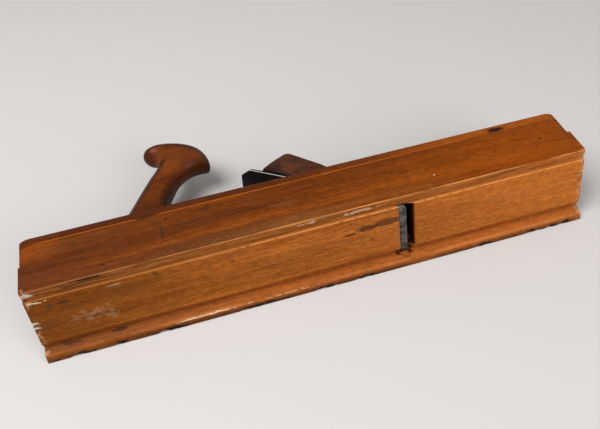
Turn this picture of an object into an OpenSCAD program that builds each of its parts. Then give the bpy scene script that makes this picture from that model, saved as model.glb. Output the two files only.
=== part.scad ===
// Panel raising plane, lying on its left side
// +X runs to the toe, +Y to the deck, +Z up to the plane's right side
// The origin is on the left side, at mid length, level with the arris of the stop

/* [Stock] */
// Length of the stock, heel to toe
stock_l = 500; // [440:5:560]
// Width of the stock, left side to right side
stock_w = 70; // [67:0.5:76]
// Height from the stop to the deck
stock_h = 59.5; // [54:0.5:66]
// Width of the flat chamfers along the deck, on the sides
chamfer_w = 10.7; // [6:0.1:14]
// Depth of the flat chamfers, along the deck and down the ends
chamfer_d = 3.4; // [2:0.1:4]
// Width of the chamfers down the ends, on the sides
end_chamfer_w = 13.9; // [8:0.1:18]
// How far the end chamfers run down from the deck
end_chamfer_run = 28; // [18:1:36]
// Length of the chamfer across each end of the deck
deck_end_l = 6; // [3:0.5:10]
// Radius of the gouge cut that stops an end chamfer
gouge_r = 5.5; // [4.7:0.1:9]

/* [Sole] */
// Width of the stop, which rides on the panel's field
stop_w = 9.8; // [8:0.2:11]
// Depth of the step from the stop to the raising flat
step_d = 2.4; // [1.5:0.1:4]
// Tilt of the raising flat
sole_tilt = 15.5; // [10:0.5:18]
// Width of the raising flat, measured across the stock
flat_w = 43.3; // [41:0.1:44.5]
// Width of the hollow between the flat and the fence
hollow_w = 7.1; // [5:0.1:8.5]
// Depth of the hollow's bottom above the flat's edge
hollow_d = 1.7; // [0.6:0.1:3]
// Height of the fence's face
fence_h = 8.6; // [6:0.2:12]
// How far the fence's face leans to the left
fence_lean = 2.3; // [0.5:0.1:2.9]
// How far the fence's nose falls towards the left side
nose_fall = 2.5; // [1:0.1:4]
// Radius of the fence's nose
nose_r = 2.4; // [1:0.1:3]
// Radius of the worn arrises along the sole
worn_r = 0.8; // [0.3:0.1:1.2]

/* [Bed and mouth] */
// Distance of the bed's lower edge ahead of mid length
bed_x = 69.2; // [50:0.2:90]
// Pitch of the bed, measured square to the raising flat
bed_pitch = 45; // [43:0.5:50]
// Angle of the iron from square to the flat, which keeps it inside the stock
iron_set = 6; // [5:0.5:8]
// Length of the mouth, from the bed's edge to the front
mouth_l = 14.1; // [11.5:0.1:18]
// Height of the upright front of the mouth
wear_h = 12; // [8:0.5:18]
// Forward slope of the throat's front above it
throat_slope = 14; // [6:0.5:20]
// Width of each abutment at the deck
abutment_w = 6.5; // [5:0.1:8]
// Clearance of the mortise at each side of the iron
mortise_fit = 0.4; // [0.3:0.05:0.8]
// Radius of the gouged relief at the mouth's left end
relief_r = 6.5; // [5:0.1:7.5]

/* [Iron] */
// Width of the iron
iron_w = 46; // [44:0.2:47]
// Thickness of the iron
iron_t = 3.6; // [2.8:0.1:4.2]
// Length of the iron, up from the bed's lower edge
iron_l = 168; // [150:1:190]
// How far the cutting edge stands out of the flat
edge_out = 1; // [0.3:0.1:1.4]
// Angle of the ground bevel
bevel_angle = 25; // [22:1:32]
// Radius of the iron's right corner, which works the step
corner_r = 3.6; // [2:0.2:5]
// Length at the top over which the iron is drawn in
draw_l = 89; // [60:1:100]
// How far each side is drawn in at the top
draw_in = 8; // [3:0.2:9]
// Length of the clipped top corners
clip_l = 10; // [5:0.5:14]
// Width of the clipped top corners
clip_w = 8.5; // [4:0.5:10]
// Thickness of the iron's top edge
top_t = 2.1; // [1.6:0.1:2.5]

/* [Wedge] */
// Taper of the wedge
wedge_taper = 11.5; // [8:0.5:12]
// Thickness of the wedge where the bed meets the sole
wedge_t = 7; // [6:0.1:9]
// Distance of the wedge's heel from the bed's lower edge
wedge_l = 146; // [132:1:156]
// Distance of the legs' tips from the bed's lower edge
leg_tip = 12; // [8:0.5:20]
// Clearance on each face of the wedge and behind the iron
wedge_fit = 0.1; // [0.05:0.01:0.2]
// Slope of the wedge's heel
heel_slope = 10; // [4:1:20]
// Distance of the fork's crotch from the bed's lower edge
crotch = 74; // [60:1:82]
// Chamfer along the wedge's lower edges, above the deck
wedge_chamfer = 3.6; // [1.5:0.1:5]

/* [Tote] */
// Distance of the tote's rear foot behind mid length
tote_x = 180; // [172:1:200]
// Height of the tote above the deck
tote_h = 112; // [100:1:118]
// Thickness of the tote
tote_t = 29; // [24:0.5:32]
// Wear of each side of the grip at half its height
grip_wear = 1; // [0.4:0.1:2]
// Length of the tote's foot on the deck
foot_l = 66; // [62:1:70]
// Depth of the tenon in the deck
tenon_d = 18; // [12:1:24]
// Shoulder of the tote at each end of the tenon
tenon_shoulder = 5; // [3:0.5:8]
// Shoulder of the tote at each side of the tenon
tenon_cheek = 1; // [0.5:0.1:2]
// Clearance of the tenon in its mortise
tenon_fit = 0.1; // [0.05:0.01:0.2]

/* [Hidden] */
$fn = 64;
over = 2; // how far a cutter runs past the wood

// Corners of the sole's profile, as [y, z]
step_z = stock_w - stop_w;
flat_z = step_z - flat_w;
flat_y = -step_d - flat_w * tan(sole_tilt);
hollow_z = flat_z - hollow_w;
hollow_y = flat_y + hollow_d;
nose_y = hollow_y - fence_h;
nose_z = hollow_z - fence_lean;
left_y = nose_y - nose_fall;

// Middle of the mouth on the flat, where the bed's frame stands
mouth_z = (step_z + flat_z) / 2;
mouth_y = (flat_y - step_d) / 2;
mortise_w = iron_w + 2 * mortise_fit;

// Direction of the iron, from the mouth to its top
up_x = -cos(iron_set) * cos(bed_pitch);
up_y = cos(iron_set) * sin(bed_pitch) * cos(sole_tilt) + sin(iron_set) * sin(sole_tilt);
up_z = sin(iron_set) * cos(sole_tilt) - cos(iron_set) * sin(bed_pitch) * sin(sole_tilt);
throat_lean = -atan(up_z / up_y);
bed_len = (stock_h - mouth_y) / up_y;

// Distances along the iron and out from the bed
wedge_reach = iron_l + 40;
iron_back = wedge_fit;
wedge_back = iron_back + iron_t + wedge_fit;
function abutment(s) = wedge_back + wedge_t + wedge_fit + s * tan(wedge_taper);
function wedge_face(s) = abutment(s) - wedge_fit;
edge_x = (wedge_back * cos(bed_pitch) + edge_out) / sin(bed_pitch);
function end_x(z) = (edge_x - z * sin(iron_set)) / cos(iron_set);
heel_run = wedge_face(wedge_l) * tan(heel_slope);
leg_w = abutment_w - 2 * mortise_fit;

tote_y = stock_h;
tenon_l = foot_l - 2 * tenon_shoulder;
tenon_root = 0.8; // how far the tenon's block runs up into the tote
foot_flat = 12; // height above the deck over which the rounding levels out to the foot

// Rounds the corners of an outline, each with its own radius
function unit(v) = v / norm(v);
function arc_at(a, b, c, r, steps) =
    let (
        u = unit(a - b),
        v = unit(c - b),
        half = acos(u * v) / 2,
        reach = r / tan(half),
        centre = b + unit(u + v) * r / sin(half),
        first = b + u * reach - centre,
        last = b + v * reach - centre,
        sweep = 180 - 2 * half
    )
    [for (i = [0:steps])
        centre + (first * sin(sweep * (1 - i / steps)) + last * sin(sweep * i / steps)) / sin(sweep)];
function rounded(points, radii, steps = 6) =
    let (n = len(points))
    [for (i = [0:n - 1])
        each radii[i] > 0
            ? arc_at(points[(i + n - 1) % n], points[i], points[(i + 1) % n], radii[i], steps)
            : [points[i]]];

// Smooth closed curve through a list of points
function through(a, b, c, d, t) =
    (2 * b + (c - a) * t + (2 * a - 5 * b + 4 * c - d) * t * t + (3 * b - a - 3 * c + d) * t * t * t) / 2;
function smooth(points, steps) =
    let (n = len(points))
    [for (i = [0:n - 1], k = [0:steps - 1])
        through(points[(i + n - 1) % n], points[i], points[(i + 1) % n], points[(i + 2) % n], k / steps)];

// The frame of the bed: x down the iron, y out from the bed, z across to the right
module on_bed() {
    translate([bed_x, mouth_y, mouth_z])
        rotate([-sole_tilt, 0, 0])
            rotate([0, 0, -bed_pitch])
                rotate([0, iron_set, 0])
                    children();
}

// Extrudes a profile that is drawn as [x, y] across the bed, centred
module across(width) {
    linear_extrude(width, center = true)
        children();
}

// Extrudes a plan that is drawn as [x, z] out from the bed
module outward(from, to) {
    translate([0, to, 0])
        rotate([90, 0, 0])
            linear_extrude(to - from)
                children();
}

// Section of the stock, drawn as [y, z]
module stock_section() {
    polygon(rounded(
        [[0, stock_w], [0, step_z], [-step_d, step_z], [flat_y, flat_z], [hollow_y, hollow_z],
         [nose_y, nose_z], [left_y, 0], [stock_h - chamfer_w, 0], [stock_h, chamfer_d],
         [stock_h, stock_w - chamfer_d], [stock_h - chamfer_w, stock_w]],
        [worn_r, 0, worn_r, worn_r, 0, nose_r, worn_r, 0, 0, 0, 0]));
}

// Cutter for one end chamfer, its arris on the y axis below the origin
module end_chamfer() {
    depth = end_chamfer_w * chamfer_d / norm([end_chamfer_w, chamfer_d]);
    rotate([0, -atan(end_chamfer_w / chamfer_d), 0]) {
        translate([-depth, -end_chamfer_run, -end_chamfer_w - over])
            cube([2 * chamfer_d, end_chamfer_run + over, 2 * end_chamfer_w]);
        translate([gouge_r - depth, -end_chamfer_run, 0])
            cylinder(r = gouge_r, h = 3 * end_chamfer_w, center = true);
    }
}

// Cutters at the toe: two upright chamfers and the one across the deck's end
module toe_cutters() {
    translate([stock_l / 2, stock_h, stock_w])
        end_chamfer();
    translate([stock_l / 2, stock_h, 0])
        mirror([0, 0, 1])
            end_chamfer();
    translate([stock_l / 2, stock_h, 0])
        linear_extrude(3 * stock_w, center = true)
            polygon([[-deck_end_l, 0], [0, -chamfer_d], [over, -chamfer_d], [over, over], [-deck_end_l, over]]);
}

// Slot between the bed and the abutments, which holds the iron and the wedge
module wedge_slot() {
    below = 14;
    on_bed()
        across(mortise_w)
            polygon([[below, 0], [-wedge_reach, 0], [-wedge_reach, abutment(wedge_reach)],
                     [0, abutment(0)], [below, abutment(0)]]);
}

// Throat ahead of the abutments, narrow at the deck and as wide as the iron at the mouth
module throat() {
    top = stock_h - mouth_y + over;
    clear_of_bed = 8.5;
    narrow = mortise_w - 2 * abutment_w;
    wide = mortise_w - 3;
    flare_y = 20;
    translate([bed_x, mouth_y, mouth_z])
        rotate([-throat_lean, 0, 0])
            intersection() {
                across(2 * stock_w)
                    polygon([[clear_of_bed, -flare_y], [mouth_l, -flare_y], [mouth_l, wear_h],
                             [mouth_l + (top - wear_h) * tan(throat_slope), top],
                             [clear_of_bed - top / tan(bed_pitch), top], [clear_of_bed, 0]]);
                rotate([90, 0, 90])
                    across(stock_l)
                        polygon([[-flare_y, -wide / 2], [wear_h, -wide / 2], [top, -narrow / 2],
                                 [top, narrow / 2], [wear_h, wide / 2], [-flare_y, wide / 2]]);
            }
}

module tote_mortise() {
    translate([tenon_shoulder - tote_x - tenon_fit, stock_h - tenon_d - tenon_fit,
               stock_w / 2 - tote_t / 2 + tenon_cheek - tenon_fit])
        cube([tenon_l + 2 * tenon_fit, tenon_d + tenon_fit + over,
              tote_t - 2 * tenon_cheek + 2 * tenon_fit]);
}

module stock() {
    relief_drop = 2;
    relief_in = 3;
    color("peru")
        difference() {
            rotate([90, 0, 90])
                across(stock_l)
                    stock_section();
            toe_cutters();
            mirror([1, 0, 0])
                toe_cutters();
            wedge_slot();
            throat();
            tote_mortise();
            translate([bed_x + edge_x, hollow_y - relief_drop, hollow_z + relief_in])
                sphere(r = relief_r);
        }
}

// Plan of the iron, drawn as [x, z], x down to the edge
module iron_plan() {
    half = iron_w / 2;
    polygon(rounded(
        [[end_x(-half), -half], [end_x(half), half], [draw_l - iron_l, half],
         [clip_l - iron_l, half - draw_in], [-iron_l, half - draw_in - clip_w],
         [-iron_l, draw_in + clip_w - half], [clip_l - iron_l, draw_in - half],
         [draw_l - iron_l, -half]],
        [0, corner_r, 0, clip_w / 2, 0, 0, clip_w / 2, 0]));
}

// Cutter for a bevel, its edge on the z axis and its waste on the +x side
module bevel_cutter(angle, from, to) {
    size = 3 * iron_t / sin(angle);
    rotate([0, 0, angle])
        translate([-size, -size, from])
            cube([2 * size, size, to - from]);
}

module iron() {
    half = iron_w / 2;
    face = iron_back + iron_t;
    thin_l = 30;
    relief_l = 14;
    color("dimgray")
        on_bed()
            difference() {
                outward(iron_back, face)
                    iron_plan();
                // main bevel, parallel to the mouth
                translate([end_x(0), face, 0])
                    rotate([0, -iron_set, 0])
                        bevel_cutter(bevel_angle, -iron_w, iron_w);
                // bevel on round the right corner, then up the side that works the step
                translate([end_x(half) - corner_r * 0.3, face, half - corner_r * 0.3])
                    rotate([0, -45, 0])
                        bevel_cutter(bevel_angle + 12, -corner_r * 2, corner_r * 2);
                translate([end_x(half), face, half])
                    rotate([0, -90, 0])
                        bevel_cutter(90 - bevel_angle, -relief_l, relief_l);
                // thin top
                translate([thin_l - iron_l, face, 0])
                    rotate([0, 0, atan((iron_t - top_t) / thin_l)])
                        translate([-2 * thin_l, 0, -iron_w])
                            cube([2 * thin_l, iron_t, 2 * iron_w]);
            }
}

// Side view of the wedge, drawn as [x, y]
module wedge_side() {
    nib = 2;
    polygon(rounded(
        [[-leg_tip, wedge_back], [-wedge_l, wedge_back],
         [heel_run - wedge_l, wedge_face(wedge_l - heel_run)],
         [-2 * leg_tip, wedge_face(2 * leg_tip)], [-leg_tip, wedge_back + nib]],
        [0, 1.5, 5, 0, 0]));
}

// Plan of the wedge with its fork, drawn as [x, z]
module wedge_plan() {
    half = mortise_w / 2 - mortise_fit;
    gap = half - leg_w;
    head = wedge_l - bed_len;
    difference() {
        polygon(rounded(
            [[0, -half], [0, half], [-bed_len, half], [-wedge_l, half - draw_in * head / draw_l],
             [-wedge_l, draw_in * head / draw_l - half], [-bed_len, -half]],
            [0, 0, 0, 4, 4, 0]));
        translate([gap - crotch, 0])
            circle(r = gap);
        translate([gap - crotch, -gap])
            square([crotch, 2 * gap]);
    }
}

module wedge() {
    half = mortise_w / 2 - mortise_fit;
    thick = wedge_face(wedge_l);
    size = 2 * wedge_chamfer;
    color("saddlebrown")
        on_bed()
            difference() {
                intersection() {
                    across(2 * iron_w)
                        wedge_side();
                    outward(0, 2 * thick)
                        wedge_plan();
                }
                // chamfers along the lower edges of the head
                for (side = [-1, 1])
                    translate([-bed_len - wedge_chamfer, wedge_back, side * half])
                        rotate([45, 0, 0])
                            rotate([0, side * atan(draw_in / draw_l), 0])
                                translate([-wedge_l, -wedge_chamfer / sqrt(2), -size])
                                    cube([wedge_l, sqrt(2) * wedge_chamfer, 2 * size]);
            }
}

// Outline of the tote from its rear foot round the horn and the nose, as shares of its foot and height
tote_shape = [
    [-0.05, -0.08], [0, 0], [0.152, 0.125], [0.32, 0.269], [0.455, 0.397], [0.641, 0.566], [0.78, 0.679],
    [0.841, 0.754], [0.795, 0.808], [0.697, 0.844], [0.632, 0.911], [0.70, 0.966], [0.85, 0.998],
    [1.0, 0.99], [1.1, 0.975], [1.24, 0.945], [1.4, 0.885], [1.51, 0.81], [1.57, 0.72], [1.583, 0.635],
    [1.55, 0.59], [1.45, 0.602], [1.27, 0.588], [1.1, 0.513], [0.985, 0.409], [0.897, 0.302],
    [0.871, 0.179], [0.909, 0.071], [1, 0], [1.03, -0.08]];
// How far the rounding reaches in from the outline at each of those points
tote_reach = [
    3, 3, 7, 11, 12, 12, 11, 9, 7, 6.5, 5.5, 7, 9, 9, 9, 9, 8.5, 7.5, 5, 3, 2.6, 4, 8.5, 11, 12, 12,
    11, 7, 3, 3];

// Rings of the tote, from its left side to its right side
module rounded_tote() {
    steps = 3;
    anchors = [for (p = tote_shape) [p[0] * foot_l, p[1] * tote_h]];
    curve = smooth(anchors, steps);
    reaches = smooth([for (r = tote_reach) [r, 0]], steps);
    // the first and last anchors only steer the curve below the deck
    last = steps * (len(anchors) - 2);
    outline = [for (i = [steps:last]) curve[i]];
    reach = [for (i = [steps:last]) reaches[i]];
    n = len(outline);
    span = 3;
    inward = [for (i = [0:n - 1])
        let (d = unit(outline[min(i + span, n - 1)] - outline[max(i - span, 0)]))
            [d[1], -d[0] * min(1, outline[i][1] / foot_flat)]];
    turns = [for (a = [-90:15:90]) a];
    rings = len(turns);
    points = [for (a = turns, i = [0:n - 1])
        let (p = outline[i] + inward[i] * reach[i][0] * (1 - cos(a)),
            level = 2 * p[1] / tote_h - 1)
            [p[0], p[1], sin(a) * (tote_t / 2 - grip_wear * max(0, 1 - level * level))]];
    sides = [for (k = [0:rings - 2], i = [0:n - 1])
        let (a = k * n + i, b = k * n + (i + 1) % n)
            each [[a, b, b + n], [a, b + n, a + n]]];
    polyhedron(points, concat(
        sides,
        [[for (i = [0:n - 1]) n - 1 - i]],
        [[for (i = [0:n - 1]) (rings - 1) * n + i]]), convexity = 6);
}

module tote() {
    color("sienna")
        translate([-tote_x, tote_y, stock_w / 2]) {
            rounded_tote();
            translate([tenon_shoulder, -tenon_d, tenon_cheek - tote_t / 2])
                cube([tenon_l, tenon_d + tenon_root, tote_t - 2 * tenon_cheek]);
        }
}

stock();
tote();
iron();
wedge();
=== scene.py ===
"""Panel raising plane, lying on its left side: looks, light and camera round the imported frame."""
import logging
import math
import random
from dataclasses import dataclass
from enum import Enum

import bmesh
import bpy
from mathutils import Matrix, Vector
from mathutils.kdtree import KDTree


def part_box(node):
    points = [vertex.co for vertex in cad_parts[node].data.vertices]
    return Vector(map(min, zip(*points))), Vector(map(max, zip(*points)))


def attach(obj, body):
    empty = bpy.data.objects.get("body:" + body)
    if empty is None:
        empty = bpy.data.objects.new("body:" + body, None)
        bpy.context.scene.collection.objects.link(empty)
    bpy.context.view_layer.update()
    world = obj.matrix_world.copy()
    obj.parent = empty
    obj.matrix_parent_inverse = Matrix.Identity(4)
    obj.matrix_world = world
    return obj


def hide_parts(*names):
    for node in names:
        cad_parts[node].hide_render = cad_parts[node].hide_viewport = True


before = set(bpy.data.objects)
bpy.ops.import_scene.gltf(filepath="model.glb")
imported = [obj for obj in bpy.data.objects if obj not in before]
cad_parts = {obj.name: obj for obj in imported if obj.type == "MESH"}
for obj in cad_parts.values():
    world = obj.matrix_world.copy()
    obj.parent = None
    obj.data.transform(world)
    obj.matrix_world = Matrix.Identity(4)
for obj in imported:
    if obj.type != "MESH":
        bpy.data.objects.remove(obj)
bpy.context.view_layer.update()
LOG = logging.getLogger("raising_plane")
MM = 0.001
SOLE_SLOPE = math.tan(math.radians(15.5))

Triple = tuple[float, float, float]
Tint = tuple[float, float, float, float]
Socket = bpy.types.NodeSocket
Value = Socket | float


def srgb(red: int, green: int, blue: int) -> Tint:
    """Turns a screen colour into the linear colour that a shader takes.

    Args:
        red: Red from 0 to 255.
        green: Green from 0 to 255.
        blue: Blue from 0 to 255.

    Returns:
        The linear colour with an alpha of 1.
    """
    def linear(value: int) -> float:
        """Returns one channel in linear light."""
        share = value / 255
        return share / 12.92 if share <= 0.04045 else ((share + 0.055) / 1.055) ** 2.4

    return linear(red), linear(green), linear(blue), 1.0


class Arris(Enum):
    """Long edges of the stock, as millimetres up the stock (y) and across it (z)."""

    STOP = (0.0, 70.0)
    STEP = (-2.4, 60.2)
    NOSE = (-21.4, 7.5)
    FENCE = (-23.9, 0.0)
    DECK_SIDE = (48.8, 70.0)


@dataclass(frozen=True)
class Mark:
    """One stain, knot, crack or speck, with its middle and half sizes in millimetres."""

    middle: Triple
    half: Triple
    colour: Tint
    strength: float = 0.8
    rough: float = 0.4


class Graph:
    """Builds one procedural material, reading the piece's own object coordinates."""

    def __init__(self, name: str) -> None:
        """Starts a material that holds only its shader.

        Args:
            name: Name of the material.
        """
        self.material = bpy.data.materials.new(name)
        self.material.use_nodes = True
        self.tree = self.material.node_tree
        self.tree.nodes.clear()
        self.shader = self.tree.nodes.new("ShaderNodeBsdfPrincipled")
        output = self.tree.nodes.new("ShaderNodeOutputMaterial")
        self.tree.links.new(self.shader.outputs["BSDF"], output.inputs["Surface"])
        self.place = self.tree.nodes.new("ShaderNodeTexCoord").outputs["Object"]
        self.x, self.y, self.z = self.split(self.place)

    def split(self, vector: Socket) -> tuple[Socket, Socket, Socket]:
        """Returns the three parts of a vector."""
        node = self.tree.nodes.new("ShaderNodeSeparateXYZ")
        self.tree.links.new(vector, node.inputs[0])
        return node.outputs[0], node.outputs[1], node.outputs[2]

    def feed(self, socket: Socket, value: Value | Tint) -> None:
        """Links or sets one input.

        Args:
            socket: The input.
            value: A socket to link, or a constant to set.
        """
        if isinstance(value, bpy.types.NodeSocket):
            self.tree.links.new(value, socket)
        else:
            socket.default_value = value

    def math(self, operation: str, first: Value, second: Value = 0.0) -> Socket:
        """Returns one step of arithmetic.

        Args:
            operation: Blender's name of the operation.
            first: First term.
            second: Second term.

        Returns:
            The result's socket.
        """
        node = self.tree.nodes.new("ShaderNodeMath")
        node.operation = operation
        self.feed(node.inputs[0], first)
        self.feed(node.inputs[1], second)
        return node.outputs[0]

    def product(self, *factors: Value) -> Socket:
        """Returns the product of two or more factors."""
        total = factors[0]
        for factor in factors[1:]:
            total = self.math("MULTIPLY", total, factor)
        return total

    def ramp(self, value: Value, low: float, high: float) -> Socket:
        """Returns a smooth 0 to 1 as value goes from low to high."""
        node = self.tree.nodes.new("ShaderNodeMapRange")
        node.interpolation_type = "SMOOTHSTEP"
        self.feed(node.inputs["Value"], value)
        node.inputs["From Min"].default_value = low
        node.inputs["From Max"].default_value = high
        return node.outputs["Result"]

    def band(self, value: Value, low: float, high: float, soft: float) -> Socket:
        """Returns 1 between low and high, with edges that are soft over the given width."""
        rise = self.ramp(value, low - soft, low + soft)
        return self.product(rise, self.ramp(value, high + soft, high - soft))

    def noise(self, scale: Triple, detail: float = 3.0, seed: float = 0.0, distortion: float = 0.0) -> Socket:
        """Returns a noise value, stretched by axis.

        Args:
            scale: Features for each metre along X, Y and Z.
            detail: Octaves of the noise.
            seed: Shift of the pattern.
            distortion: How far the pattern is warped.

        Returns:
            The value's socket, mostly between 0.25 and 0.75.
        """
        mapping = self.tree.nodes.new("ShaderNodeMapping")
        self.tree.links.new(self.place, mapping.inputs["Vector"])
        mapping.inputs["Scale"].default_value = scale
        mapping.inputs["Location"].default_value = (seed, seed * 2, seed * 3)
        node = self.tree.nodes.new("ShaderNodeTexNoise")
        self.tree.links.new(mapping.outputs["Vector"], node.inputs["Vector"])
        node.inputs["Scale"].default_value = 1.0
        node.inputs["Detail"].default_value = detail
        node.inputs["Distortion"].default_value = distortion
        return node.outputs["Fac"]

    def mix(self, share: Value, first: Socket | Tint, second: Socket | Tint, mode: str = "MIX") -> Socket:
        """Returns two colours mixed by share."""
        node = self.tree.nodes.new("ShaderNodeMix")
        node.data_type = "RGBA"
        node.blend_type = mode
        self.feed(node.inputs["Factor"], share)
        self.feed(node.inputs[6], first)
        self.feed(node.inputs[7], second)
        return node.outputs[2]

    def near(self, arris: Arris, reach: float) -> Socket:
        """Returns 1 on a long edge of the stock, falling to 0 at reach millimetres."""
        up, across = arris.value
        rise = self.math("SUBTRACT", self.y, up * MM)
        side = self.math("SUBTRACT", self.z, across * MM)
        square = self.math("ADD", self.product(rise, rise), self.product(side, side))
        return self.ramp(self.math("SQRT", square), reach * MM, 0.0)

    def depth(self, plane: tuple[Vector, float]) -> Socket:
        """Returns how far a point lies behind a plane, given as its normal and offset."""
        node = self.tree.nodes.new("ShaderNodeVectorMath")
        node.operation = "DOT_PRODUCT"
        self.tree.links.new(self.place, node.inputs[0])
        node.inputs[1].default_value = plane[0]
        return self.math("SUBTRACT", plane[1], node.outputs["Value"])

    def spot(self, mark: Mark, wander: Socket) -> Socket:
        """Returns 1 inside a ragged spot.

        Args:
            mark: The spot's place and size.
            wander: A noise that pushes its outline about.

        Returns:
            The mask's socket.
        """
        total = None
        for axis, middle, half in zip((self.x, self.y, self.z), mark.middle, mark.half):
            share = self.math("DIVIDE", self.math("SUBTRACT", axis, middle * MM), half * MM)
            square = self.product(share, share)
            total = square if total is None else self.math("ADD", total, square)
        push = self.product(self.math("SUBTRACT", wander, 0.5), 5 * mark.rough)
        return self.ramp(self.math("ADD", self.math("SQRT", total), push), 1.15, 0.7)

    def marked(self, base: Socket, marks: tuple[Mark, ...]) -> Socket:
        """Returns the base colour with each mark laid over it."""
        wander = self.noise((170, 430, 430), 5, 6.0)
        for mark in marks:
            base = self.mix(self.product(self.spot(mark, wander), mark.strength), base, mark.colour)
        return base

    def bump(self, height: Socket, strength: float, distance: float) -> None:
        """Raises the surface by height.

        Args:
            height: The height's socket.
            strength: Strength of the effect.
            distance: Depth in metres.
        """
        node = self.tree.nodes.new("ShaderNodeBump")
        node.inputs["Strength"].default_value = strength
        node.inputs["Distance"].default_value = distance
        self.feed(node.inputs["Height"], height)
        self.tree.links.new(node.outputs["Normal"], self.shader.inputs["Normal"])


@dataclass(frozen=True)
class Grain:
    """Figure of one piece of beech: how its grain runs and its colours."""

    fibre: Triple
    streak: Triple
    band: Triple
    fleck: Triple
    light: Tint
    dark: Tint
    pore: Tint
    contrast: float = 0.8
    seed: float = 0.0

    def paint(self, graph: Graph) -> tuple[Socket, Socket]:
        """Draws the bare wood.

        Args:
            graph: The material's graph.

        Returns:
            The wood's colour, and the height of its fibres.
        """
        bands = graph.noise(self.band, 4, self.seed, 0.5)
        streaks = graph.noise(self.streak, 4, self.seed + 1)
        fibres = graph.noise(self.fibre, 5, self.seed + 2)
        flecks = graph.ramp(graph.noise(self.fleck, 2, self.seed + 3), 0.60, 0.70)
        wood = graph.mix(graph.ramp(bands, 0.30, 0.70), self.light, self.dark)
        fine = graph.mix(graph.ramp(fibres, 0.32, 0.68), (0.62, 0.56, 0.48, 1), (1.22, 1.22, 1.18, 1))
        wood = graph.mix(self.contrast, wood, fine, "MULTIPLY")
        broad = graph.mix(graph.ramp(streaks, 0.34, 0.66), (0.80, 0.76, 0.70, 1), (1.10, 1.10, 1.08, 1))
        wood = graph.mix(self.contrast, wood, broad, "MULTIPLY")
        return graph.mix(graph.product(flecks, 0.55), wood, self.pore), fibres


BURNT = srgb(58, 30, 14)
CHIPPED = srgb(40, 23, 13)
PAINT = srgb(206, 190, 170)
GREY = srgb(152, 122, 92)
CHIPS = ((-222, 11), (-187, 6), (-141, 12), (-65, 18), (-5, 9), (35, 11), (151, 9), (199, 5), (220, 5), (235, 5))

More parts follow.
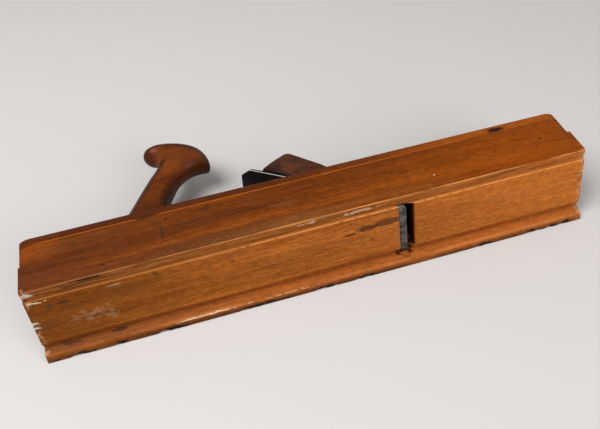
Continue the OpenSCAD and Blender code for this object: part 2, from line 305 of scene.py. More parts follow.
STAINS = (
    Mark((-132, 29, 70), (1.6, 12, 2), srgb(74, 38, 20), 0.7, 0.5),
    Mark((-135, 40, 70), (5, 1.6, 2), srgb(74, 38, 20), 0.6, 0.4),
    Mark((-127, 41, 70), (1.5, 1.5, 2), BURNT, 0.8, 0.2),
    Mark((-101, 32, 70), (1.3, 1.2, 2), BURNT, 0.8, 0.2),
    Mark((-183, 8, 70), (1.6, 1.4, 2), BURNT, 0.8, 0.2),
    Mark((-92, 42, 70), (4.5, 3.4, 2), srgb(78, 38, 18), 0.75, 0.35),
    Mark((-83, 53, 68.5), (5, 2.6, 2.5), srgb(66, 30, 14), 0.75, 0.35),
    Mark((-143, 50, 70), (12, 2.4, 2.5), srgb(62, 28, 12), 0.75, 0.5),
    Mark((-214, 51, 69), (3.5, 1.8, 2), BURNT, 0.75, 0.4),
    Mark((-223, 50, 69.5), (2.2, 1.4, 2), BURNT, 0.75, 0.4),
    Mark((188, 52.5, 69), (8, 4.6, 4), srgb(38, 19, 11), 0.95, 0.25),
    Mark((219, 27, 70), (2.6, 1.2, 2), BURNT, 0.65, 0.3),
    Mark((109, 15, 70), (1.0, 0.9, 2), PAINT, 0.7, 0.2),
    Mark((-24, 25, 70), (12, 3.2, 2), srgb(116, 78, 48), 0.3, 0.7),
    Mark((-196, 0, 68.0), (13, 3, 1.3), srgb(44, 27, 16), 0.9, 0.5),
    Mark((-212, 0, 65.2), (9, 3, 1.1), srgb(66, 40, 22), 0.7, 0.5),
    Mark((-9, 0, 66.5), (10, 2, 1.0), srgb(206, 172, 132), 0.6, 1.1),
    Mark((34, 0, 65.3), (12, 2, 1.6), srgb(208, 176, 138), 0.6, 1.1),
    Mark((57, -6, 48.6), (15, 4, 3.6), srgb(78, 42, 19), 0.85, 0.22),
    Mark((40, -6, 47.4), (11, 3, 3.0), srgb(66, 35, 17), 0.88, 0.3),
    Mark((23, -6.8, 44.6), (5.5, 3, 1.3), srgb(60, 31, 15), 0.85, 0.25),
    Mark((73, -7, 12.5), (10, 13, 5.5), srgb(44, 22, 10), 0.95, 0.35),
    Mark((25, -3.7, 55.5), (1.4, 2, 1.1), BURNT, 0.7, 0.3),
    Mark((43, -9.6, 34.3), (1.6, 2, 1.2), BURNT, 0.6, 0.3),
    Mark((-81, -5.3, 49.7), (2.2, 2, 1.2), BURNT, 0.5, 0.4),
    Mark((-145, -3.4, 56.5), (3, 2, 2.2), srgb(80, 46, 22), 0.7, 0.4),
    Mark((-178, -3.6, 56), (6, 2, 0.8), srgb(170, 138, 104), 0.6, 0.5),
    Mark((-186, -3.9, 55), (9, 2, 1.6), srgb(96, 66, 42), 0.5, 0.9),
    Mark((-224, -4.6, 52.3), (9, 2, 1.5), srgb(70, 42, 22), 0.6, 0.7),
    Mark((-219, -4.6, 52), (7, 2, 0.6), BURNT, 0.85, 0.25),
    Mark((-208, -5.6, 48), (1.6, 2, 1.0), BURNT, 0.7, 0.3),
    Mark((-233, -11.5, 10.1), (7.5, 2.5, 0.5), srgb(38, 20, 10), 0.92, 0.35),
    Mark((-227, -15.4, 9.2), (7, 2.5, 0.5), srgb(60, 31, 14), 0.8, 0.4),
    Mark((-187, -14.4, 9.4), (6.5, 3, 0.9), srgb(48, 25, 12), 0.9, 0.4),
    Mark((-185, -14.4, 9.6), (9.5, 3, 2.0), srgb(92, 48, 22), 0.5, 0.4),
    Mark((-208, -10, 33), (8, 3, 5), GREY, 0.3, 1.5),
    Mark((-194, -9.4, 35), (8, 3, 5), GREY, 0.3, 1.5),
    Mark((-188, -11, 28.5), (5, 3, 3), GREY, 0.3, 1.2),
    Mark((-112, -22.4, 6.3), (30, 1.8, 0.8), srgb(226, 196, 158), 0.75, 0.9),
    Mark((-40, -22.4, 6.3), (26, 1.8, 0.7), srgb(214, 170, 124), 0.5, 1.1),
    Mark((-246, -1.4, 65.5), (4, 3, 2.4), PAINT, 0.8, 1.3),
    Mark((-244, -3.2, 58), (7, 2, 0.9), PAINT, 0.75, 1.2),
    Mark((-248.6, -8.6, 37), (2.6, 3, 3.2), PAINT, 0.8, 1.3),
    Mark((245, -6, 47.4), (5, 2, 0.7), srgb(84, 44, 20), 0.8, 0.3),
)
SPLINTERS = tuple(Mark((along, -23.6, 1.2), (half, 1.9, 3.2), CHIPPED, 0.9, 0.45) for along, half in CHIPS)


@dataclass(frozen=True)
class StockFinish:
    """Worn, oiled beech of the stock: pale sole, redder sides, dark stains and bright worn edges, with painted
    light brightening it towards the toe and painted shade darkening the mouth.
    """

    sole: Grain = Grain((26, 950, 950), (9, 210, 210), (4, 60, 60), (150, 1500, 1500),
                        srgb(168, 96, 35), srgb(140, 77, 26), srgb(90, 48, 16), 0.66)
    sides: Grain = Grain((24, 850, 850), (8, 170, 170), (3, 46, 46), (120, 1300, 1300),
                         srgb(136, 68, 16), srgb(99, 48, 13), srgb(60, 29, 12), 0.8, 3.0)

    def broad_tones(self, g: Graph, sole: Socket, side: Socket) -> Socket:
        """Lays the faces' tones, pinker on the fence, with painted light that darkens them to the heel and
        brightens them to the toe.

        Args:
            g: The material's graph.
            sole: Colour of the sole's wood.
            side: Colour of the sides' wood.

        Returns:
            The body's colour.
        """
        # Painted light: the sole and the side get brighter towards the toe and darker towards the heel.
        toe = g.ramp(g.x, -0.02, 0.24)
        heel = g.ramp(g.x, -0.02, -0.24)
        sole = g.mix(g.product(toe, 0.5), sole, srgb(182, 104, 40))
        sole = g.mix(g.product(heel, 0.65), sole, srgb(97, 50, 7))
        side = g.mix(g.product(toe, 0.5), side, srgb(158, 76, 6))
        side = g.mix(g.product(heel, 0.5), side, srgb(82, 42, 18))
        patches = g.ramp(g.noise((7, 24, 24), 5, 9.0), 0.50, 0.70)
        side = g.mix(g.product(patches, 0.55), side, srgb(98, 46, 16))
        low_side = g.product(g.ramp(g.y, 15 * MM, 3 * MM), g.ramp(g.noise((9, 60, 60), 5, 2.0), 0.36, 0.60))
        low_side = g.product(low_side, g.ramp(g.x, 0.15, 0.03))
        dusty = g.mix(g.ramp(g.x, -0.14, 0.0), srgb(84, 56, 32), srgb(128, 84, 43))
        side = g.mix(g.product(low_side, 0.6), side, dusty)
        corner = g.product(g.ramp(g.x, -205 * MM, -232 * MM), g.ramp(g.y, 24 * MM, 40 * MM))
        side = g.mix(g.product(corner, 0.4), side, srgb(160, 78, 14))
        body = g.mix(g.ramp(g.y, 0.5 * MM, -0.2 * MM), side, sole)
        fence = g.product(g.ramp(g.z, 18 * MM, 13 * MM), g.ramp(g.y, -4 * MM, -9 * MM))
        ruddy = g.mix(g.ramp(g.x, -0.2, 0.1), srgb(142, 77, 33), srgb(172, 96, 42))
        body = g.mix(g.product(fence, 0.5), body, ruddy)
        under = g.product(g.near(Arris.FENCE, 8.0), g.ramp(g.noise((9, 60, 60), 5, 3.0), 0.3, 0.5))
        body = g.mix(g.product(under, 0.9), body, srgb(84, 44, 17))
        hollow = g.product(g.band(g.z, 9.5 * MM, 15 * MM, 2.5 * MM), g.ramp(g.y, -9 * MM, -12 * MM))
        body = g.mix(g.product(hollow, 0.5), body, srgb(122, 60, 20))
        # Painted light: the deck-side chamfer is brightened towards the toe and darkened towards the heel.
        chamfer = g.ramp(g.y, 48 * MM, 50.5 * MM)
        body = g.mix(g.product(chamfer, g.ramp(g.x, 0.05, 0.2), 0.5), body, srgb(176, 92, 12))
        return g.mix(g.product(chamfer, g.ramp(g.x, 0.12, -0.05), 0.75), body, srgb(78, 32, 6))

    def wear(self, g: Graph, body: Socket) -> Socket:
        """Lays the grime, the rubbed edges, the painted highlights on the step's riser and arris, and the
        scuffed ends.

        Args:
            g: The material's graph.
            body: The body's colour.

        Returns:
            The worn colour.
        """
        mottled = g.ramp(g.noise((170, 420, 420), 5, 11.0), 0.34, 0.66)
        body = g.mix(0.7, body, g.mix(mottled, (0.78, 0.75, 0.70, 1), (1.15, 1.14, 1.11, 1)), "MULTIPLY")
        pits = g.ramp(g.noise((380, 640, 640), 3, 13.0), 0.66, 0.72)
        body = g.mix(g.product(pits, 0.5), body, BURNT)
        grime = g.product(g.ramp(g.noise((11, 80, 80), 6, 4.0), 0.50, 0.72), g.ramp(g.x, 0.08, -0.22))
        body = g.mix(g.product(grime, 0.45), body, srgb(84, 50, 26))
        strip = g.product(g.band(g.z, 60.5 * MM, 69.6 * MM, 0.6 * MM), g.ramp(g.y, 1.0 * MM, 0.2 * MM))
        dusty = g.ramp(g.noise((30, 500, 500), 5, 5.0), 0.44, 0.62)
        body = g.mix(g.product(strip, dusty, 0.4), body, srgb(180, 122, 70))
        dirty = g.ramp(g.noise((16, 240, 240), 5, 8.0), 0.52, 0.66)
        body = g.mix(g.product(strip, dirty, 0.65), body, srgb(80, 46, 22))
        patchy = g.ramp(g.noise((18, 12, 12), 4, 2.0), 0.34, 0.58)
        for arris, reach, strength, tint in (
                (Arris.NOSE, 3.0, 0.4, srgb(204, 126, 70)), (Arris.DECK_SIDE, 1.2, 0.55, srgb(200, 100, 20))):
            body = g.mix(g.product(g.near(arris, reach), patchy, strength), body, tint)
        # Rubbed bright patches on the stop's arris, with painted light making them brighter towards the toe.
        brighter = g.math("ADD", g.product(g.ramp(g.x, -0.20, 0.04), 0.6), 0.3)
        body = g.mix(g.product(g.near(Arris.STOP, 1.3), patchy, brighter), body, srgb(220, 144, 74))
        # Painted highlight on the step's riser, which faces the light from above.
        riser = g.product(g.band(g.z, 59.9 * MM, 60.7 * MM, 0.2 * MM), g.ramp(g.y, 0.6 * MM, 0.0))
        riser_highlight = g.mix(g.ramp(g.x, -0.2, 0.05), srgb(122, 72, 32), srgb(176, 108, 50))
        body = g.mix(g.product(riser, 0.8), body, riser_highlight)
        # Painted highlight along the step's arris, brighter towards the toe.
        body = g.mix(g.product(g.near(Arris.STEP, 1.0), brighter), body, srgb(222, 146, 76))
        along = g.math("ABSOLUTE", g.x)
        facing = g.split(g.tree.nodes.new("ShaderNodeTexCoord").outputs["Normal"])
        sawn = g.product(g.ramp(g.math("ABSOLUTE", facing[0]), 0.6, 0.9), g.ramp(along, 225 * MM, 235 * MM))
        body = self.end_grain(g, body, sawn)
        ends = g.product(g.ramp(along, 244 * MM, 249.5 * MM), g.math("SUBTRACT", 1.0, g.product(sawn, 0.8)))
        scuffed = g.ramp(g.noise((240, 240, 240), 5, 7.0), 0.46, 0.62)
        low = g.ramp(g.y, 8 * MM, -2 * MM)
        body = g.mix(g.product(ends, scuffed, low, 0.7), body, srgb(188, 146, 104))
        stained = g.ramp(g.noise((160, 160, 160), 5, 1.0), 0.54, 0.66)
        body = g.mix(g.product(ends, stained, 0.6), body, BURNT)
        bitten = g.product(g.near(Arris.FENCE, 5.0), g.ramp(g.noise((30, 130, 130), 6, 7.0), 0.56, 0.62))
        return g.mix(g.product(bitten, 0.85), body, CHIPPED)

    def end_grain(self, g: Graph, body: Socket, sawn: Socket) -> Socket:
        """Draws the year rings and the rays on the sawn ends.

        Args:
            g: The material's graph.
            body: The body's colour.
            sawn: Mask of the sawn ends.

        Returns:
            The colour with end grain.
        """
        rings = g.ramp(g.noise((6, 160, 40), 4, 15.0, 0.8), 0.40, 0.62)
        wood = g.mix(rings, srgb(126, 65, 22), srgb(90, 45, 15))
        rays = g.ramp(g.noise((30, 260, 1400), 4, 16.0), 0.38, 0.62)
        wood = g.mix(0.7, wood, g.mix(rays, (0.78, 0.74, 0.70, 1), (1.12, 1.10, 1.08, 1)), "MULTIPLY")
        return g.mix(g.product(sawn, 0.85), body, wood)

    def throat_shade(self, g: Graph, body: Socket) -> Socket:
        """Paints shade on the walls of the mouth and the throat, under the sole and the deck.

        Args:
            g: The material's graph.
            body: The body's colour.

        Returns:
            The colour with dark inner walls.
        """
        # Painted shade: the inner walls of the mouth and the throat are darkened where light can't reach.
        drop = g.product(g.math("SUBTRACT", 60.2 * MM, g.z), SOLE_SLOPE)
        depth = g.math("ADD", g.math("ADD", g.y, 2.4 * MM), drop)
        shallow = g.product(g.ramp(depth, 0.6 * MM, 1.6 * MM), g.band(g.z, 16 * MM, 59.6 * MM, 0.2 * MM))
        deep = g.product(g.ramp(g.y, 0.8 * MM, 1.6 * MM), g.band(g.z, 13 * MM, 64 * MM, 0.5 * MM))
        lengthwise = g.ramp(g.math("ABSOLUTE", g.x), 240 * MM, 220 * MM)
        within = g.product(g.math("MAXIMUM", shallow, deep), g.ramp(g.y, 59.2 * MM, 58 * MM), lengthwise)
        return g.mix(g.product(within, 0.9), body, srgb(38, 18, 8))

    def build(self) -> bpy.types.Material:
        """Returns the material."""
        g = Graph("beech_stock")
        sole, height = self.sole.paint(g)
        side, _ = self.sides.paint(g)
        body = self.broad_tones(g, sole, side)
        body = self.wear(g, body)
        body = g.marked(body, STAINS + SPLINTERS)
        body = self.throat_shade(g, body)
        g.feed(g.shader.inputs["Base Color"], body)
        g.feed(g.shader.inputs["Roughness"], g.math("ADD", g.product(height, 0.25), 0.36))
        g.shader.inputs["Specular IOR Level"].default_value = 0.05
        dents = g.ramp(g.noise((120, 160, 160), 3, 3.0), 0.30, 0.42)
        g.bump(g.math("ADD", g.product(height, 0.45), g.product(dents, 0.5)), 0.4, 0.0006)
        return g.material


@dataclass(frozen=True)
class ToteFinish:
    """Hand-polished beech of the tote, rubbed lighter in patches and darker at the horn's end grain, with
    painted shade on its far rounding, its front edge and under its head.
    """

    grain: Grain = Grain((46, 620, 620), (18, 150, 150), (12, 60, 60), (200, 1300, 1300),
                         srgb(108, 51, 13), srgb(80, 36, 8), srgb(44, 20, 7), 0.6, 5.0)

    def build(self) -> bpy.types.Material:
        """Returns the material."""
        g = Graph("beech_tote")
        wood, height = self.grain.paint(g)
        rubbed = g.ramp(g.noise((18, 18, 18), 3, 1.0), 0.42, 0.62)
        wood = g.mix(g.product(rubbed, 0.4), wood, srgb(136, 68, 24))
        facing = g.split(g.tree.nodes.new("ShaderNodeTexCoord").outputs["Normal"])
        # Painted shade: the rounding that turns away towards the far side (+Y) is darkened.
        wood = g.mix(g.product(g.ramp(facing[1], 0.03, 0.2), 0.75), wood, srgb(54, 24, 6))
        # Painted shade: the front edge (facing +X) falls off into dark.
        wood = g.mix(g.product(g.ramp(facing[0], 0.3, 0.85), 0.6), wood, srgb(34, 14, 5))
        horn = g.product(g.ramp(g.x, -124 * MM, -138 * MM), g.ramp(g.y, 140 * MM, 150 * MM))
        wood = g.mix(g.product(horn, 0.6), wood, srgb(50, 22, 9))
        # Painted shade under the tote's head.
        under = g.product(g.ramp(g.x, -112 * MM, -90 * MM), g.ramp(g.y, 142 * MM, 126 * MM))
        wood = g.mix(g.product(under, 0.75), wood, srgb(34, 14, 6))
        g.feed(g.shader.inputs["Base Color"], wood)
        g.feed(g.shader.inputs["Roughness"], g.math("ADD", g.product(height, 0.16), 0.28))
        g.shader.inputs["Specular IOR Level"].default_value = 0.07
        g.shader.inputs["Coat Weight"].default_value = 0.1
        g.shader.inputs["Coat Roughness"].default_value = 0.2
        dents = g.ramp(g.noise((140, 140, 140), 3, 4.0), 0.32, 0.42)
        g.bump(g.math("ADD", g.product(height, 0.3), g.product(dents, 0.5)), 0.16, 0.0004)
        return g.material


@dataclass(frozen=True)
class WedgeFinish:
    """Dark, oil-soaked beech of the wedge, with a painted shade strip along its lower edge by the iron."""

    grain: Grain = Grain((260, 260, 800), (90, 90, 240), (40, 40, 90), (600, 600, 1500),
                         srgb(96, 50, 23), srgb(62, 32, 14), srgb(30, 15, 7), 0.6, 8.0)
    strip: tuple[float, float] = (3.0 * MM, 8.0 * MM)

    def build(self, rear: tuple[Vector, float]) -> bpy.types.Material:
        """Makes the material.

        Args:
            rear: Normal and offset of the iron's rear face, which the painted shade strip along the wedge's
                lower edge runs along.

        Returns:
            The material.
        """
        g = Graph("beech_wedge")
        wood, height = self.grain.paint(g)
        soaked = g.ramp(g.noise((60, 60, 60), 4, 2.0), 0.46, 0.66)
        wood = g.mix(g.product(soaked, 0.5), wood, srgb(38, 20, 11))
        # Painted shade: a dark strip along the wedge's lower edge, next to the iron, stands in for a shaded
        # chamfer.
        lower = g.band(g.depth(rear), *self.strip, 0.5 * MM)
        wood = g.mix(g.product(lower, 0.75), wood, srgb(32, 16, 8))
        g.feed(g.shader.inputs["Base Color"], wood)
        g.feed(g.shader.inputs["Roughness"], g.math("ADD", g.product(height, 0.2), 0.42))
        g.shader.inputs["Specular IOR Level"].default_value = 0.1
        g.bump(height, 0.3, 0.0005)
        return g.material


@dataclass(frozen=True)
class IronFinish:
    """Blackened steel of the iron, ground grey at the edge and bright along its rubbed side, where a white
    highlight is painted.
    """

    black: Tint = srgb(13, 11, 10)
    rust: Tint = srgb(28, 20, 15)
    bright: Tint = srgb(236, 232, 226)
    ground: Tint = srgb(110, 105, 101)
    dull: Tint = srgb(62, 58, 55)
    edge_glint_width: float = 1.0 * MM

    def build(self, rear: tuple[Vector, float]) -> bpy.types.Material:
        """Makes the material.

        Args:
            rear: Normal and offset of the iron's rear face, whose side edge is rubbed bright and carries a
                painted highlight.

        Returns:
            The material.
        """
        g = Graph("iron_steel")
        patina = g.noise((240, 240, 240), 6, 3.0)
        metal = g.mix(g.ramp(patina, 0.45, 0.75), self.black, self.rust)
        lower = g.ramp(g.y, 4 * MM, 1 * MM)
        ground = g.mix(g.ramp(g.noise((120, 160, 160), 4, 5.0), 0.35, 0.65), self.ground, self.dull)
        metal = g.mix(lower, metal, ground)
        facing = g.split(g.tree.nodes.new("ShaderNodeTexCoord").outputs["Normal"])
        # Painted highlight: a thin white line along the iron's side edge, on steel that is rubbed bright there.
        side = g.product(g.ramp(facing[2], 0.6, 0.85), g.ramp(g.y, 10 * MM, 30 * MM))
        side = g.product(side, g.ramp(g.depth(rear), self.edge_glint_width + 0.3 * MM, self.edge_glint_width - 0.3 * MM))
        metal = g.mix(g.product(side, 0.9), metal, self.bright)
        g.feed(g.shader.inputs["Base Color"], metal)
        g.feed(g.shader.inputs["Metallic"], g.product(g.math("MAXIMUM", side, lower), 0.5))
        g.feed(g.shader.inputs["Roughness"], g.math("ADD", g.product(patina, 0.3), 0.34))
        g.shader.inputs["Specular IOR Level"].default_value = 0.12
        g.bump(patina, 0.15, 0.0003)
        return g.material


@dataclass(frozen=True)
class NickSizes:
    """Sizes of the nicks, in metres: half height from low to high, and how ragged they are."""

    low: float
    high: float
    ragged: float
    longer: float
    seed: int


def nick_cutters(name: str, places: list[Vector], sizes: NickSizes) -> bpy.types.Object:
    """Sets a ragged pebble on each place with a Geometry Nodes tree, to cut nicks with.

    Args:
        name: Name of the cutter object.
        places: Middles of the nicks, in metres.
        sizes: Sizes of the nicks and the seed of their spread.

    Returns:
        A mesh object holding all the cutters.
    """
    tree = bpy.data.node_groups.new(name, "GeometryNodeTree")
    tree.interface.new_socket("Geometry", in_out="INPUT", socket_type="NodeSocketGeometry")
    wanted = {"Low": ("NodeSocketFloat", sizes.low), "High": ("NodeSocketFloat", sizes.high),
              "Ragged": ("NodeSocketFloat", sizes.ragged), "Longer": ("NodeSocketFloat", sizes.longer),
              "Seed": ("NodeSocketInt", sizes.seed)}
    sockets = {label: tree.interface.new_socket(label, in_out="INPUT", socket_type=kind)
               for label, (kind, _) in wanted.items()}
    tree.interface.new_socket("Geometry", in_out="OUTPUT", socket_type="NodeSocketGeometry")
    add = tree.nodes.new
    link = tree.links.new
    given = add("NodeGroupInput").outputs
    pebble = add("GeometryNodeMeshIcoSphere")
    pebble.inputs["Subdivisions"].default_value = 3
    size = add("FunctionNodeRandomValue")
    size.data_type = "FLOAT"
    link(given["Low"], size.inputs[2])
    link(given["High"], size.inputs[3])
    link(given["Seed"], size.inputs["Seed"])
    length = add("ShaderNodeMath")
    length.operation = "MULTIPLY"
    link(size.outputs[1], length.inputs[0])
    link(given["Longer"], length.inputs[1])
    stretch = add("ShaderNodeCombineXYZ")
    link(length.outputs[0], stretch.inputs["X"])
    link(size.outputs[1], stretch.inputs["Y"])
    link(size.outputs[1], stretch.inputs["Z"])
    turn = add("FunctionNodeRandomValue")
    turn.data_type = "FLOAT_VECTOR"
    turn.inputs[0].default_value = (-0.6, -0.12, -0.12)
    turn.inputs[1].default_value = (0.6, 0.12, 0.12)
    link(given["Seed"], turn.inputs["Seed"])
    scattered = add("GeometryNodeInstanceOnPoints")
    link(given["Geometry"], scattered.inputs["Points"])
    link(pebble.outputs["Mesh"], scattered.inputs["Instance"])
    link(stretch.outputs[0], scattered.inputs["Scale"])
    link(turn.outputs[0], scattered.inputs["Rotation"])
    real = add("GeometryNodeRealizeInstances")
    link(scattered.outputs[0], real.inputs[0])
    rough = add("ShaderNodeTexNoise")
    rough.inputs["Scale"].default_value = 420
    centred = add("ShaderNodeVectorMath")
    centred.operation = "SUBTRACT"
    link(rough.outputs["Color"], centred.inputs[0])
    centred.inputs[1].default_value = (0.5, 0.5, 0.5)
    push = add("ShaderNodeVectorMath")
    push.operation = "SCALE"
    link(centred.outputs[0], push.inputs[0])
    link(given["Ragged"], push.inputs["Scale"])
    moved = add("GeometryNodeSetPosition")
    link(real.outputs[0], moved.inputs["Geometry"])
    link(push.outputs[0], moved.inputs["Offset"])
    painted = add("GeometryNodeSetMaterial")
    link(moved.outputs[0], painted.inputs["Geometry"])
    result = add("NodeGroupOutput")
    link(painted.outputs[0], result.inputs[0])
    mesh = bpy.data.meshes.new(name)
    mesh.from_pydata([tuple(place) for place in places], [], [])
    holder = bpy.data.objects.new(name, mesh)
    bpy.context.scene.collection.objects.link(holder)
    modifier = holder.modifiers.new("scatter", "NODES")
    modifier.node_group = tree
    for label, (_, value) in wanted.items():
        modifier[sockets[label].identifier] = value
    return flatten(holder)


def flatten(piece: bpy.types.Object) -> bpy.types.Object:
    """Turns a piece's modifiers into its own plain mesh.

    Args:
        piece: The piece with modifiers.

    Returns:
        The same piece, with the result as its mesh and no modifiers.
    """
    bpy.context.view_layer.update()
    graph = bpy.context.evaluated_depsgraph_get()
    mesh = bpy.data.meshes.new_from_object(piece.evaluated_get(graph))
    piece.modifiers.clear()
    piece.data = mesh
    return piece


@dataclass
class Piece:
    """One dressed piece: a copy of its node's mesh, with eased edges and its own finish."""

    node: str
    body: str
    slot: str
    finish: bpy.types.Material
    ease: float = 0.4 * MM
    edge_angle: float = math.radians(28)
    sharp_angle: float = math.radians(38)

    def copy_node(self) -> bpy.types.Object:
        """Returns a clean copy of the node's mesh, flat faces merged."""
        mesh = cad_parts[self.node].data.copy()
        work = bmesh.new()
        work.from_mesh(mesh)
        bmesh.ops.remove_doubles(work, verts=work.verts, dist=1e-6)
        bmesh.ops.dissolve_limit(work, angle_limit=math.radians(0.5), verts=work.verts, edges=work.edges)
        work.to_mesh(mesh)
        work.free()
        piece = bpy.data.objects.new(f"{self.node}_dressed", mesh)
        bpy.context.scene.collection.objects.link(piece)
        return piece

    def shape(self, piece: bpy.types.Object) -> None:
        """Eases the piece's edges."""
        bevel = piece.modifiers.new("ease", "BEVEL")
        bevel.width = self.ease
        bevel.segments = 3
        bevel.limit_method = "ANGLE"
        bevel.angle_limit = self.edge_angle
        bevel.use_clamp_overlap = True
        flatten(piece)

    def finish_off(self, piece: bpy.types.Object) -> None:
        """Gives the piece its material, shading and body."""
        piece.data.materials.clear()
        piece.data.materials.append(self.finish)
        piece.data.shade_smooth()
        piece.data.set_sharp_from_angle(angle=self.sharp_angle)
        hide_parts(self.node)
        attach(piece, self.body)

    def build(self) -> bpy.types.Object:
        """Returns the finished piece."""
        piece = self.copy_node()
        self.shape(piece)
        self.finish_off(piece)
        LOG.info("%s: %d faces", piece.name, len(piece.data.polygons))
        return piece


@dataclass
class Stock(Piece):
    """The stock, with worn arrises, chips along the fence and small nicks along the stop."""

    chip_sizes: NickSizes = NickSizes(1.0 * MM, 1.8 * MM, 1.1 * MM, 3.0, 4)
    nick_sizes: NickSizes = NickSizes(0.3 * MM, 0.8 * MM, 0.2 * MM, 3.2, 9)
    chip_spacing: float = 3.0
    nick_count: int = 34
    seed: int = 12

    def places(self) -> tuple[list[Vector], list[Vector]]:
        """Works out where the chips and the small nicks sit.

        Returns:
            Places of the chips, and places of the nicks, in metres.
        """
        low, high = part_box(self.node)
        spread = random.Random(self.seed)
        chips = []
        for middle, half in CHIPS:
            for _ in range(max(1, round(half / self.chip_spacing))):
                along = (middle + spread.uniform(-half, half)) * MM
                chips.append(Vector((along, low[1] + spread.uniform(-0.8, 0.4) * MM,
                                     low[2] + spread.uniform(-0.4, 1.0) * MM)))
        nicks = []
        for up, across in (Arris.STOP.value, Arris.STEP.value, Arris.FENCE.value):
            for _ in range(self.nick_count):
                nicks.append(Vector((spread.uniform(low[0], high[0]), up * MM, across * MM)))
        return chips, nicks

    def shape(self, piece: bpy.types.Object) -> None:
        """Eases the edges, then takes the chips and the nicks out of the arrises."""
        super().shape(piece)
        chips, nicks = self.places()
        for name, places, sizes in (("chips", chips, self.chip_sizes), ("nicks", nicks, self.nick_sizes)):
            cutters = nick_cutters(name, places, sizes)
            cut = piece.modifiers.new(name, "BOOLEAN")
            cut.operation = "DIFFERENCE"
            cut.solver = "EXACT"
            cut.use_self = True
            cut.object = cutters
            flatten(piece)
            bpy.data.objects.remove(cutters)


@dataclass
class Tote(Piece):
    """The tote, smoothed as the hand has worn it."""

    voxel: float = 1.0 * MM
    rounds: int = 8
    reach: float = 15 * MM
    foot_reach: float = 3 * MM
    deck: float = 59.5 * MM
    blend: float = 22 * MM

    def even_out(self, piece: bpy.types.Object) -> None:
        """Gives the piece an even mesh."""
        even = piece.modifiers.new("even", "REMESH")
        even.mode = "VOXEL"
        even.voxel_size = self.voxel
        flatten(piece)

    def share(self, height: float) -> float:
        """Returns 0 at the deck and 1 where the grip is free of the foot."""
        part = min(1.0, max(0.0, (height - self.deck) / self.blend))
        return part * part * (3 - 2 * part)

    def pillow(self, piece: bpy.types.Object) -> None:
        """Rounds the grip from its outline inwards, as the hand has worn it."""
        low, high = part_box(self.node)
        middle = (low[2] + high[2]) / 2
        half = (high[2] - low[2]) / 2
        above = [v for v in piece.data.vertices if v.co.y > self.deck]
        rim = [v.co for v in above if abs(v.co.z - middle) < self.voxel]
        tree = KDTree(len(rim))
        for index, co in enumerate(rim):
            tree.insert((co.x, co.y, 0), index)
        tree.balance()
        for vertex in above:
            inset = tree.find((vertex.co.x, vertex.co.y, 0))[2]
            reach = self.foot_reach + (self.reach - self.foot_reach) * self.share(vertex.co.y)
            lean = 1 - min(1.0, inset / reach)
            limit = half * math.sqrt(1 - lean * lean)
            vertex.co.z = middle + max(-limit, min(limit, vertex.co.z - middle))

    def shape(self, piece: bpy.types.Object) -> None:
        """Rounds the grip, less and less towards the foot."""
        self.even_out(piece)
        self.pillow(piece)
        self.even_out(piece)
        grip = piece.vertex_groups.new(name="grip")
        for vertex in piece.data.vertices:
            grip.add([vertex.index], self.share(vertex.co.y), "REPLACE")
        smooth = piece.modifiers.new("smooth", "SMOOTH")
        smooth.factor = 0.5
        smooth.iterations = self.rounds
        smooth.vertex_group = grip.name
        flatten(piece)


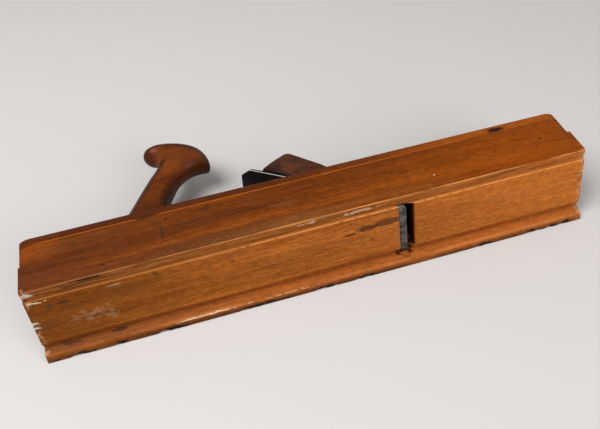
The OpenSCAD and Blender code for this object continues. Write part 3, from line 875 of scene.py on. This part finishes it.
@dataclass
class Studio:
    """Floor, light and camera."""

    eye: Triple = (-0.1009, -0.3474, 0.4817)
    yaw: float = 0.2327
    pitch: float = 0.8443
    roll: float = 0.0722
    focal_px: float = 650.0
    frame_px: float = 600.0
    floor_size: float = 6.0
    floor_tint: Tint = srgb(205, 202, 199)

    def camera(self) -> None:
        """Sets the camera at the photograph's viewing angle."""
        forward = Vector((math.sin(self.yaw) * math.cos(self.pitch), math.cos(self.yaw) * math.cos(self.pitch),
                          -math.sin(self.pitch)))
        right = Vector((math.cos(self.yaw), -math.sin(self.yaw), 0))
        down = forward.cross(right)
        across = math.cos(self.roll) * right + math.sin(self.roll) * down
        lower = -math.sin(self.roll) * right + math.cos(self.roll) * down
        turn = Matrix((across, -lower, -forward)).transposed()
        data = bpy.data.cameras.new("camera")
        data.sensor_width = 36
        data.lens = data.sensor_width * self.focal_px / self.frame_px
        camera = bpy.data.objects.new("camera", data)
        camera.matrix_world = Matrix.Translation(self.eye) @ turn.to_4x4()
        bpy.context.scene.collection.objects.link(camera)
        bpy.context.scene.camera = camera

    def floor(self) -> None:
        """Lays the plain pale floor under the object."""
        mesh = bpy.data.meshes.new("floor")
        half = self.floor_size / 2
        corners = [(-half, -half, 0), (half, -half, 0), (half, half, 0), (-half, half, 0)]
        mesh.from_pydata(corners, [], [(0, 1, 2, 3)])
        floor = bpy.data.objects.new("floor", mesh)
        material = bpy.data.materials.new("floor")
        material.use_nodes = True
        shader = material.node_tree.nodes["Principled BSDF"]
        shader.inputs["Base Color"].default_value = self.floor_tint
        shader.inputs["Roughness"].default_value = 0.7
        mesh.materials.append(material)
        bpy.context.scene.collection.objects.link(floor)

    def lamp(self, name: str, place: Triple, size: float, power: float) -> None:
        """Adds one soft square lamp that looks at the object.

        Args:
            name: Name of the lamp.
            place: Its place, in metres.
            size: Length of its side, in metres.
            power: Its power, in watts.
        """
        data = bpy.data.lights.new(name, "AREA")
        data.size = size
        data.energy = power
        lamp = bpy.data.objects.new(name, data)
        lamp.location = place
        lamp.rotation_euler = (-Vector(place)).to_track_quat("-Z", "Y").to_euler()
        bpy.context.scene.collection.objects.link(lamp)

    def light(self) -> None:
        """Lights the object softly from above and from the camera's side."""
        self.lamp("key", (-0.8, -0.1, 1.5), 0.9, 24)
        self.lamp("fill", (0.8, -1.3, 0.9), 1.2, 16)
        world = bpy.data.worlds.new("studio")
        world.use_nodes = True
        background = world.node_tree.nodes["Background"]
        background.inputs["Color"].default_value = (0.9, 0.9, 0.92, 1)
        background.inputs["Strength"].default_value = 0.36
        bpy.context.scene.world = world

    def build(self) -> None:
        """Builds the studio."""
        self.camera()
        self.floor()
        self.light()
        bpy.context.scene.view_settings.view_transform = "Standard"
        LOG.info("studio is set")


def rear_face(node: str) -> tuple[Vector, float]:
    """Finds the plane of a node's broad rear face, which faces the heel.

    Args:
        node: Name of the node.

    Returns:
        The plane's outward normal and its offset from the origin, in metres.
    """
    faces = [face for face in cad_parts[node].data.polygons if face.normal.x < -0.5]
    broad = max(faces, key=lambda face: face.area)
    return broad.normal.copy(), broad.normal.dot(broad.center)


def main() -> None:
    """Builds the studio and every piece, in order."""
    logging.basicConfig(level=logging.INFO, format="%(name)s: %(message)s")
    Studio().build()
    Stock("stock", "stock", "beech_stock", StockFinish().build(), ease=0.6 * MM).build()
    Tote("tote", "stock", "beech_tote", ToteFinish().build()).build()
    rear = rear_face("iron")
    Piece("iron", "iron", "iron_steel", IronFinish().build(rear), ease=0.15 * MM).build()
    Piece("wedge", "wedge", "beech_wedge", WedgeFinish().build(rear), ease=0.6 * MM).build()


if __name__ == "__main__":
    main()
